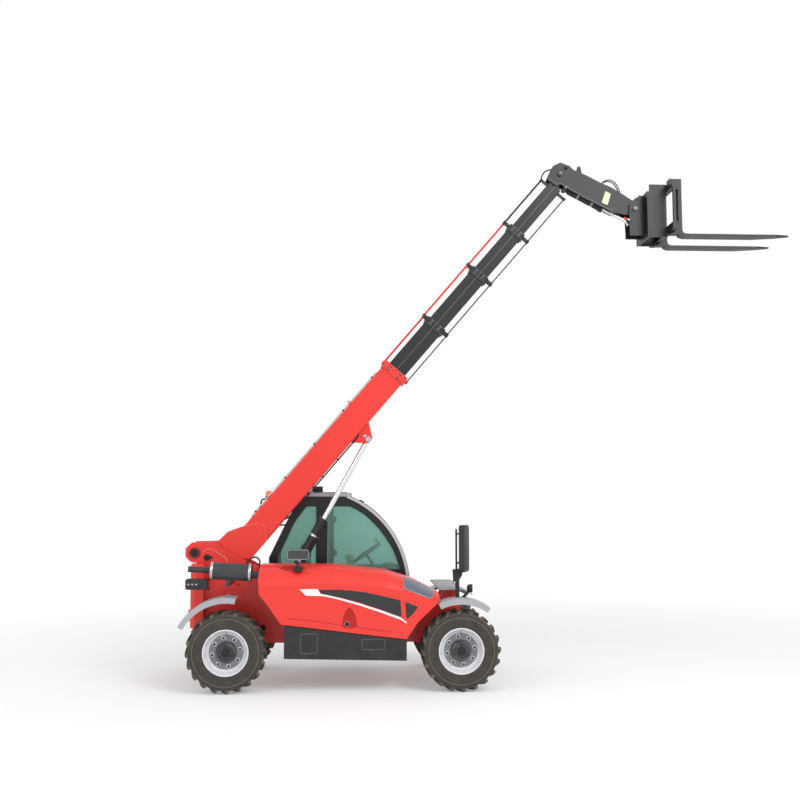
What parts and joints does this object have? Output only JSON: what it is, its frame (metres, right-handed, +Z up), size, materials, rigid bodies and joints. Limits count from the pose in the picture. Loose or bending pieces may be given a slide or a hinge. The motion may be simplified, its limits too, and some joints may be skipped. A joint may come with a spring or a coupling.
{
  "type": "compact telescopic handler",
  "caption": "Compact telescopic handler with a raised sectional boom, gooseneck head, pallet forks, side cab and steered wheels.",
  "frame": {"origin": "on the ground at the middle of the overall length and width", "axes": "+X forward, along the machine to the fork tips; +Y to its left; +Z up"},
  "size_m": [6.7699, 1.8065, 5.851],
  "materials": {
    "rim": "satin",
    "tyre": "matt",
    "steel_dark": "matt",
    "red": "gloss",
    "charcoal": "satin",
    "pad": "matt",
    "black_steel": "satin",
    "chrome": "polished",
    "iron": "matt",
    "steel": "satin",
    "black_plastic": "matt",
    "silencer": "matt",
    "grey_plastic": "matt",
    "black_paint": "satin",
    "glass": "clear",
    "seat": "woven",
    "red_plastic": "gloss"
  },
  "bodies": {
    "chassis": {"axle_rear": "steel_dark", "axle_front": "steel_dark", "main_frame": "red", "side_rail": "red", "engine_bay": "red", "counterweight": "iron", "boom_pin": "steel", "engine_block": "iron", "side_tanks": "black_plastic", "exhaust": "silencer", "fenders": "grey_plastic", "cab_frame": "black_paint", "cab_tub": "red", "cab_roof": "grey_plastic", "cab_glass": "glass", "seat": "seat", "dashboard": "black_plastic", "steering_wheel": "black_plastic"},
    "knuckle_front_right": {"knuckle_front_right": "steel_dark"},
    "wheel_front_right": {"rim_front_right": "rim", "tyre_front_right": "tyre"},
    "knuckle_front_left": {"knuckle_front_left": "steel_dark"},
    "wheel_front_left": {"rim_front_left": "rim", "tyre_front_left": "tyre"},
    "knuckle_rear_right": {"knuckle_rear_right": "steel_dark"},
    "wheel_rear_right": {"rim_rear_right": "rim", "tyre_rear_right": "tyre"},
    "knuckle_rear_left": {"knuckle_rear_left": "steel_dark"},
    "wheel_rear_left": {"rim_rear_left": "rim", "tyre_rear_left": "tyre"},
    "boom": {"boom_base": "red", "boom_base_pads": "pad"},
    "section_2": {"boom_section_2": "charcoal", "boom_section_2_pads": "pad"},
    "section_3": {"boom_section_3": "charcoal", "boom_section_3_pads": "pad"},
    "section_4": {"boom_section_4": "charcoal", "boom_section_4_pads": "pad"},
    "section_5": {"boom_section_5": "charcoal", "boom_head": "charcoal"},
    "carriage": {"fork_carriage": "black_steel", "forks": "black_steel"},
    "lift_barrel": {"lift_barrel": "black_steel"},
    "lift_rod": {"lift_rod": "chrome"},
    "tilt_barrel": {"tilt_barrel": "black_steel"},
    "tilt_rod": {"tilt_rod": "chrome"},
    "bonnet": {"bonnet": "red_plastic"},
    "door": {"door": "black_paint", "door_glass": "glass"}
  },
  "joints": [
    {"name": "front_steer_right", "type": "hinge", "parent": "chassis", "child": "knuckle_front_right", "pos_m": [-0.443, -0.65, 0.415], "axis": [0, 0, 1], "range_deg": [-30, 30]},
    {"name": "front_wheel_right", "type": "hinge", "parent": "knuckle_front_right", "child": "wheel_front_right", "pos_m": [-0.443, -0.75, 0.415], "axis": [0, 1, 0], "continuous": true},
    {"name": "front_steer_left", "type": "hinge", "parent": "chassis", "child": "knuckle_front_left", "pos_m": [-0.443, 0.65, 0.415], "axis": [0, 0, 1], "range_deg": [-30, 30]},
    {"name": "front_wheel_left", "type": "hinge", "parent": "knuckle_front_left", "child": "wheel_front_left", "pos_m": [-0.443, 0.75, 0.415], "axis": [0, 1, 0], "continuous": true},
    {"name": "rear_steer_right", "type": "hinge", "parent": "chassis", "child": "knuckle_rear_right", "pos_m": [-2.863, -0.65, 0.415], "axis": [0, 0, 1], "range_deg": [-30, 30]},
    {"name": "rear_wheel_right", "type": "hinge", "parent": "knuckle_rear_right", "child": "wheel_rear_right", "pos_m": [-2.863, -0.75, 0.415], "axis": [0, 1, 0], "continuous": true},
    {"name": "rear_steer_left", "type": "hinge", "parent": "chassis", "child": "knuckle_rear_left", "pos_m": [-2.863, 0.65, 0.415], "axis": [0, 0, 1], "range_deg": [-30, 30]},
    {"name": "rear_wheel_left", "type": "hinge", "parent": "knuckle_rear_left", "child": "wheel_rear_left", "pos_m": [-2.863, 0.75, 0.415], "axis": [0, 1, 0], "continuous": true},
    {"name": "boom_lift", "type": "hinge", "parent": "chassis", "child": "boom", "pos_m": [-3.28, -0.12, 1.394], "axis": [0, -1, 0], "range_deg": [-45.5, 10]},
    {"name": "boom_extend", "type": "slide", "parent": "boom", "child": "section_2", "axis": [0.6494, 0, 0.7604], "range_m": [-0.56, 0]},
    {"name": "boom_extend_3", "type": "slide", "parent": "section_2", "child": "section_3", "axis": [0.6494, 0, 0.7604], "range_m": [-0.56, 0]},
    {"name": "boom_extend_4", "type": "slide", "parent": "section_3", "child": "section_4", "axis": [0.6494, 0, 0.7604], "range_m": [-0.56, 0]},
    {"name": "boom_extend_5", "type": "slide", "parent": "section_4", "child": "section_5", "axis": [0.6494, 0, 0.7604], "range_m": [-0.56, 0]},
    {"name": "fork_tilt", "type": "hinge", "parent": "section_5", "child": "carriage", "pos_m": [1.672, -0.12, 5.31], "axis": [0, -1, 0], "range_deg": [-70, 60]},
    {"name": "lift_swing", "type": "hinge", "parent": "chassis", "child": "lift_barrel", "pos_m": [-2.533, -0.12, 0.59], "axis": [0, -1, 0], "range_deg": [-45.28, 9.96]},
    {"name": "lift_stroke", "type": "slide", "parent": "lift_barrel", "child": "lift_rod", "axis": [0.4838, 0, 0.8752], "range_m": [-0.84225, 0.1855]},
    {"name": "tilt_swing", "type": "hinge", "parent": "section_5", "child": "tilt_barrel", "pos_m": [0.872, -0.12, 5.56], "axis": [0, -1, 0], "range_deg": [-1.41, 1.21]},
    {"name": "tilt_stroke", "type": "slide", "parent": "tilt_barrel", "child": "tilt_rod", "axis": [0.8861, 0, -0.4636], "range_m": [-0.1475, 0.1265]},
    {"name": "bonnet_lift", "type": "hinge", "parent": "chassis", "child": "bonnet", "pos_m": [-2.113, -0.301, 1.246], "axis": [-1, 0, 0], "range_deg": [0, 60]},
    {"name": "cab_door", "type": "hinge", "parent": "chassis", "child": "door", "pos_m": [-1.857, 0.892, 1.5], "axis": [0, 0, 1], "range_deg": [0, 80]}
  ],
  "couplings": [
    {"joint": "front_steer_left", "follows": "front_steer_right", "ratio": 1},
    {"joint": "rear_steer_left", "follows": "rear_steer_right", "ratio": 1},
    {"joint": "boom_extend_3", "follows": "boom_extend", "ratio": 1},
    {"joint": "boom_extend_4", "follows": "boom_extend", "ratio": 1},
    {"joint": "boom_extend_5", "follows": "boom_extend", "ratio": 1},
    {"joint": "lift_swing", "follows": "boom_lift", "ratio": 0.995},
    {"joint": "lift_stroke", "follows": "boom_lift", "m_per_rad": 1.06},
    {"joint": "tilt_swing", "follows": "fork_tilt", "ratio": 0.02},
    {"joint": "tilt_stroke", "follows": "fork_tilt", "m_per_rad": 0.12032}
  ]
}
